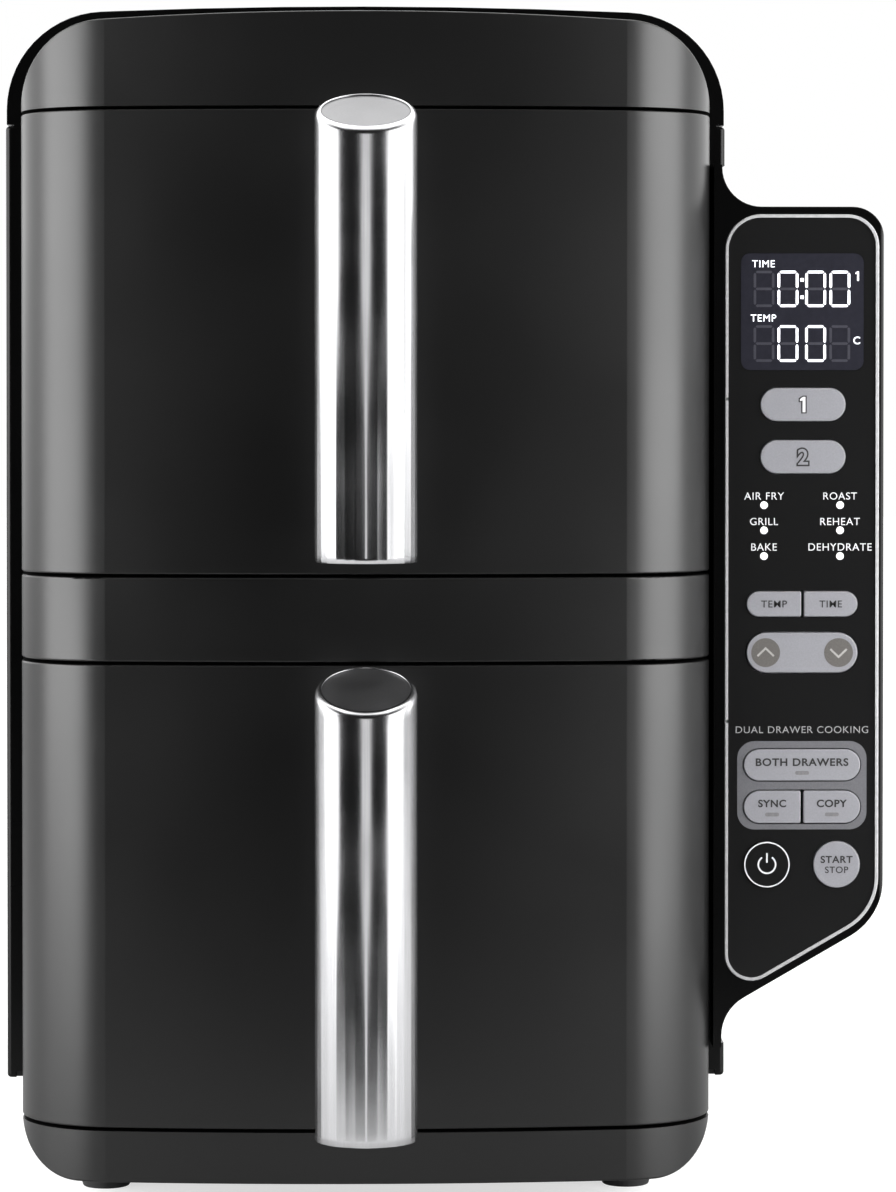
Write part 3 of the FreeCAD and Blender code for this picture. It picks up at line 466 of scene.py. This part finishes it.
ONE_HEIGHT, ONE_OUTLINE = 4.9 * MM, 0.38 * MM
TWO_HEIGHT, TWO_WEIGHT = 5.0 * MM, 0.015
TWO_OUTER_HEIGHT, TWO_OUTER_WEIGHT = 6.0 * MM, 0.085

POWER_RING_R, POWER_RING_LINE = 7.25 * MM, 0.4 * MM
POWER_R, POWER_LINE = 2.75 * MM, 0.5 * MM
POWER_ARC = (125, 415)                       # degrees, open at the top
POWER_BAR = (0.6 * MM, 3.7 * MM)             # above the key's middle

DISC_OUT, DISC_R = 11.6 * MM, 4.6 * MM
CHEVRON_HALF, CHEVRON_LINE = 2.6 * MM, 0.62 * MM
CHEVRON_FOOT, CHEVRON_TIP = 1.1 * MM, 1.4 * MM


def lamp_places():
    """Middle of each mode lamp, by column and row, from the lamps' own mesh."""
    low, high = box_of("mode_lights")
    columns = (low.x + LAMP_R, high.x - LAMP_R)
    rows = (high.z - LAMP_R, (low.z + high.z) / 2, low.z + LAMP_R)
    return columns, rows


def panel_print():
    columns, rows = lamp_places()
    words = []
    for x, labels in zip(columns, MODES):
        for z, label in zip(rows, labels):
            words.append(lettering(label, x, z + MODE_TEXT_ABOVE, LABEL_HEIGHT, PANEL_Y))
    # the mode labels are light print with a painted glow
    piece("mode_labels", words, "print_with_painted_glow", "cabinet")

    low, high = box_of("both_zones_key")
    heading = lettering(HEADING, (low.x + high.x) / 2, high.z + HEADING_ABOVE, HEADING_HEIGHT, PANEL_Y,
                        width=HEADING_WIDTH)
    piece("panel_heading", [heading], "print_soft", "cabinet")


def key_hole(node):
    """Left, right, bottom and top of the opening left for a key's cap, from the key's own box."""
    low, high = box_of(node)
    edge = KEY_FLANGE - KEY_GAP
    return low.x + edge, high.x - edge, low.z + edge, high.z - edge


def stadium(left, right, bottom, top):
    """Outline with half round ends, short of a half circle so that no two points meet."""
    return rounded(left, right, bottom, top, (top - bottom) / 2 - END_FLAT)


def key_surround():
    """Grey field round the three two-drawer keys, open where their holes are."""
    left, right, bottom, top = key_hole("both_zones_key")
    low_left, _, low_bottom, low_top = key_hole("sync_key")
    low_right = key_hole("copy_key")[1]
    outer = rounded(left - SURROUND_SIDE, right + SURROUND_SIDE, low_bottom - SURROUND_SIDE,
                    top + SURROUND_TOP, SURROUND_CORNER)
    loops = [outer, stadium(left, right, bottom, top), stadium(low_left, low_right, low_bottom, low_top)]
    piece("key_surround", [flat(loops, PANEL_Y)], "print_surround", "cabinet")


def cap_middle(node):
    """Middle of a key's cap and the height of its face. Half keys have a flange on one side only."""
    low, high = box_of(node)
    left = 0 if node in ("time_key", "copy_key") else KEY_FLANGE
    right = 0 if node in ("temp_key", "sync_key") else KEY_FLANGE
    return (low.x + left + high.x - right) / 2, (low.z + high.z) / 2, low.y


def key_word(node, word, height, rise, width, weight):
    x, z, face = cap_middle(node)
    return lettering(word, x, z + rise * MM, height * MM, face, width=width * MM, weight=weight)


def key_print():
    """What is printed on each key moves with that key."""
    for node, entry in KEY_WORDS.items():
        piece(node + "_label", [key_word(node, *entry)], "print_dark", node + "_body")
    for node, below in KEY_BARS.items():
        x, z, face = cap_middle(node)
        z -= below * MM
        bar = rounded(x - BAR_HALF_W, x + BAR_HALF_W, z - BAR_HALF_H, z + BAR_HALF_H, BAR_ROUND)
        piece(node + "_lamp", [flat([bar], face)], "print_bar", node + "_body")
    zone_numerals()
    ink = [key_word("start_key", *entry) for entry in START_WORDS]
    piece("start_key_label", ink, "print_dark", "start_key_body")
    power_symbol()


def zone_numerals():
    """A light 1 and a silver 2, each on a dark outline of itself."""
    x, z, face = cap_middle("zone_1_key")
    outline, numeral = numeral_one(x, z, ONE_HEIGHT, ONE_OUTLINE), numeral_one(x, z, ONE_HEIGHT)
    piece("zone_1_outline", [flat([outline], face)], "print_dark", "zone_1_key_body")
    # the light 1 is print with a painted glow
    piece("zone_1_label", [flat([numeral], face - PRINT_DEPTH)], "print_with_painted_glow", "zone_1_key_body")

    x, z, face = cap_middle("zone_2_key")
    outline = lettering("2", x, z, TWO_OUTER_HEIGHT, face, weight=TWO_OUTER_WEIGHT)
    numeral = lettering("2", x, z, TWO_HEIGHT, face - PRINT_DEPTH, weight=TWO_WEIGHT)
    piece("zone_2_outline", [outline], "print_dark", "zone_2_key_body")
    piece("zone_2_label", [numeral], "key_silver", "zone_2_key_body")


def power_symbol():
    """Ring round the power key's cap, and the broken circle with its bar."""
    x, z, face = cap_middle("power_key")
    ring = [circle(x, z, POWER_RING_R), circle(x, z, POWER_RING_R - POWER_RING_LINE)]
    bar = [(x, z + height) for height in POWER_BAR]
    symbol = [flat(ring, face), flat([stroke(arc(x, z, POWER_R, *POWER_ARC, 40), POWER_LINE)], face),
              flat([stroke(bar, POWER_LINE)], face)]
    # the ring and the symbol are print with a painted glow
    piece("power_key_symbol", symbol, "print_with_painted_glow", "power_key_body")


def rocker_print():
    """Two discs on the rocker, with a chevron up on the left one and down on the right one."""
    low, high = box_of("adjust_rocker")
    x, z, face = (low.x + high.x) / 2, (low.z + high.z) / 2, low.y
    discs, signs = [], []
    for side in (-1, 1):
        cx = x + side * DISC_OUT
        foot_z, tip_z = z + side * CHEVRON_FOOT, z - side * CHEVRON_TIP
        discs.append(flat([circle(cx, z, DISC_R)], face))
        chevron = [(cx - CHEVRON_HALF, foot_z), (cx, tip_z), (cx + CHEVRON_HALF, foot_z)]
        signs.append(flat([stroke(chevron, CHEVRON_LINE)], face - PRINT_DEPTH))
    piece("rocker_discs", discs, "print_disc", "adjust_rocker_body")
    piece("rocker_chevrons", signs, "print_chevron", "adjust_rocker_body")


# ---------------------------------------------------------------- handles
def sleeve_radius(base, angle, blend):
    """Radius of the sleeve at an angle: round at blend 0, flats with a front ridge at blend 1."""
    inside = (angle + FACET_STEP / 2) % FACET_STEP - FACET_STEP / 2
    flat_r = base * math.cos(FACET_STEP / 2) / math.cos(inside)
    off_front = abs((angle + math.pi / 2 + math.pi) % (2 * math.pi) - math.pi)
    ridge = max(0.0, 1 - off_front / RIDGE_REACH)
    hollow = RIDGE_HOLLOW * base * math.sin(math.pi * ridge) ** 2
    return base + blend * (flat_r - base - hollow)


def sleeve_rings():
    """Rings from the foot up: inset, rise above the foot, share of the height, drop below the top."""
    foot = [(0.5 * FOOT_ROUND, 0.0, 0.0, 0.0), (0.12 * FOOT_ROUND, 0.12 * FOOT_ROUND, 0.0, 0.0)]
    wall = [(0.0, 0.0, level / SLEEVE_LEVELS, RIM_ROUND) for level in range(1, SLEEVE_LEVELS)]
    rim = []
    for turn in range(0, 91, 15):
        angle = math.radians(turn)
        rim.append((RIM_ROUND * (1 - math.cos(angle)), 0.0, 1.0, RIM_ROUND * (1 - math.sin(angle))))
    return foot + wall + rim


def flats_blend(below_top):
    """How far the flats have come out at a depth, given as a share of the handle's height."""
    grown = min(1.0, max(0.0, below_top * FLATS_GROWTH - FLATS_DELAY))
    return grown * grown * (3 - 2 * grown)


def sleeve_mesh(name, low, high):
    """Open tube with a sloping top, in the box from low to high, and a slot behind for the web."""
    cx, base = (low.x + high.x) / 2, (high.x - low.x) / 2
    cy = low.y + base
    slope = math.tan(HANDLE_SLOPE)
    top = high.z - base * slope
    shape = bmesh.new()
    grid = []
    for inset, rise, share, drop in sleeve_rings():
        row = []
        for step in range(SLEEVE_STEPS):
            angle = 2 * math.pi * step / SLEEVE_STEPS
            slope_z = top + (base - inset) * math.sin(angle) * slope
            z = low.z + rise + share * (slope_z - drop - low.z)
            r = sleeve_radius(base, angle, flats_blend((top - z) / (top - low.z))) - inset
            row.append(shape.verts.new((cx + r * math.cos(angle), cy + r * math.sin(angle), z)))
        grid.append(row)
    for lower, upper in zip(grid, grid[1:]):
        for i in range(SLEEVE_STEPS):
            j = (i + 1) % SLEEVE_STEPS
            corners = (lower[i], lower[j], upper[j], upper[i])
            middle = sum((v.co for v in corners), Vector()) / 4
            in_slot = middle.y > cy and abs(middle.x - cx) < WEB_HALF and middle.z < top - SLOT_BELOW_TOP
            if not in_slot:
                shape.faces.new(corners)
    bmesh.ops.delete(shape, geom=[v for v in shape.verts if not v.link_faces], context="VERTS")
    mesh = bpy.data.meshes.new(name)
    shape.to_mesh(mesh)
    shape.free()
    for polygon in mesh.polygons:
        polygon.use_smooth = True
    return mesh


def handle(cell):
    """Stainless sleeve: a plain tube at the top that turns into upright flats towards the bottom."""
    node = "handle_grip_" + cell
    name = node + "_sleeve"
    sleeve = bpy.data.objects.new(name, sleeve_mesh(name, *box_of(node)))
    bpy.context.collection.objects.link(sleeve)
    wall = sleeve.modifiers.new("wall", "SOLIDIFY")
    wall.thickness = HANDLE_WALL
    wall.offset = -1
    paint(sleeve, "stainless")
    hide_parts(node)
    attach(sleeve, cell + "_drawer")
    return sleeve


# ---------------------------------------------------------------- studio
def studio_world():
    """White surroundings with a dark side behind the camera, as in a light tent; the camera sees white."""
    world = bpy.data.worlds.new("studio")
    bpy.context.scene.world = world
    world.use_nodes = True
    tree = world.node_tree
    tree.nodes.clear()
    coords = tree.nodes.new("ShaderNodeTexCoord")
    split = tree.nodes.new("ShaderNodeSeparateXYZ")
    share = tree.nodes.new("ShaderNodeMapRange")
    share.inputs["From Min"].default_value = -1
    share.inputs["From Max"].default_value = 1
    tree.links.new(coords.outputs["Generated"], split.inputs["Vector"])
    tree.links.new(split.outputs["Y"], share.inputs["Value"])
    walls = tint(tree, share.outputs["Result"], ROOM_DARK, ROOM_WHITE, ROOM_DARK_TO, ROOM_WHITE_FROM)
    room = tree.nodes.new("ShaderNodeBackground")
    room.inputs["Strength"].default_value = ROOM_STRENGTH
    tree.links.new(walls, room.inputs["Color"])
    white = tree.nodes.new("ShaderNodeBackground")
    white.inputs["Color"].default_value = (*ROOM_WHITE, 1)
    white.inputs["Strength"].default_value = 1.0
    path = tree.nodes.new("ShaderNodeLightPath")
    mix = tree.nodes.new("ShaderNodeMixShader")
    output = tree.nodes.new("ShaderNodeOutputWorld")
    tree.links.new(path.outputs["Is Camera Ray"], mix.inputs["Fac"])
    tree.links.new(room.outputs["Background"], mix.inputs[1])
    tree.links.new(white.outputs["Background"], mix.inputs[2])
    tree.links.new(mix.outputs["Shader"], output.inputs["Surface"])


def softbox(name, place, width, power, seen_by=None):
    """Tall soft light of that width and power in watts, aimed at the cabinet. With seen_by it lights
    that collection alone."""
    light = bpy.data.lights.new(name, "AREA")
    light.shape = "RECTANGLE"
    light.size = width
    light.size_y = SOFTBOX_TALL
    light.energy = power
    obj = bpy.data.objects.new(name, light)
    bpy.context.collection.objects.link(obj)
    obj.location = place
    obj.rotation_euler = (Vector(AIM) - Vector(place)).to_track_quat("-Z", "Y").to_euler()
    obj.visible_camera = False
    if seen_by:
        obj.light_linking.receiver_collection = seen_by


def lights(sleeves):
    """Side lights for all but the polished sleeves, which have weaker cards of their own."""
    polished = bpy.data.collections.new("polished")
    all_else = bpy.data.collections.new("all_else")
    for sleeve in sleeves:
        polished.objects.link(sleeve)
        all_else.objects.link(sleeve)
    for member in all_else.collection_objects:
        member.light_linking.link_state = "EXCLUDE"
    softbox("side_left", (CABINET_X - 1.20, FRONT_Y - 0.42, SOFTBOX_Z), 1.25, 52, all_else)
    softbox("side_right", (CABINET_X + 1.15, FRONT_Y - 0.56, SOFTBOX_Z), 1.20, 48, all_else)
    softbox("overhead", (CABINET_X, 0.1, 1.7), 1.6, 14)
    softbox("front_strip", (CABINET_X, FRONT_Y - 1.9, 0.30), 0.70, 3.6, polished)
    softbox("card_left", (CABINET_X - 1.25, FRONT_Y - 0.14, SOFTBOX_Z), 1.0, 12, polished)
    softbox("card_right", (CABINET_X + 1.20, FRONT_Y - 0.46, SOFTBOX_Z), 1.0, 12, polished)


def pale_floor():
    """White floor, lifted to the surroundings' white where the camera sees it."""
    near = FRONT_Y - FLOOR_REACH
    corners = [(-FLOOR_HALF, near, 0), (FLOOR_HALF, near, 0), (FLOOR_HALF, FLOOR_BACK, 0),
               (-FLOOR_HALF, FLOOR_BACK, 0)]
    mesh = bpy.data.meshes.new("floor")
    mesh.from_pydata(corners, [], [(0, 1, 2, 3)])
    floor = bpy.data.objects.new("floor", mesh)
    bpy.context.collection.objects.link(floor)
    material, tree, shader = new_material("floor_white")
    cloud = tint(tree, noise(tree, 3, 2), FLOOR_DARK, FLOOR_LIGHT)
    tree.links.new(cloud, shader.inputs["Base Color"])
    shader.inputs["Roughness"].default_value = 0.9
    shader.inputs["Specular IOR Level"].default_value = 0.0
    shader.inputs["Emission Color"].default_value = (1, 1, 1, 1)
    path = tree.nodes.new("ShaderNodeLightPath")
    lift = tree.nodes.new("ShaderNodeMath")
    lift.operation = "MULTIPLY"
    lift.inputs[1].default_value = FLOOR_LIFT
    tree.links.new(path.outputs["Is Camera Ray"], lift.inputs[0])
    tree.links.new(lift.outputs["Value"], shader.inputs["Emission Strength"])
    mesh.materials.append(material)


def camera():
    lens = bpy.data.cameras.new("camera")
    lens.sensor_width = SENSOR_MM
    lens.lens = LENS_MM
    lens.shift_y = LENS_SHIFT
    lens.clip_end = 50
    obj = bpy.data.objects.new("camera", lens)
    bpy.context.collection.objects.link(obj)
    obj.location = (CABINET_X, FRONT_Y - CAMERA_DISTANCE, CAMERA_HEIGHT)
    obj.rotation_euler = (math.radians(90) - CAMERA_PITCH, 0, -CAMERA_YAW)
    bpy.context.scene.camera = obj
    bpy.context.scene.view_settings.view_transform = "Standard"


paint_cad()
display()
panel_print()
key_surround()
key_print()
rocker_print()
sleeves = [handle(cell) for cell in ("upper", "lower")]
studio_world()
lights(sleeves)
pale_floor()
camera()
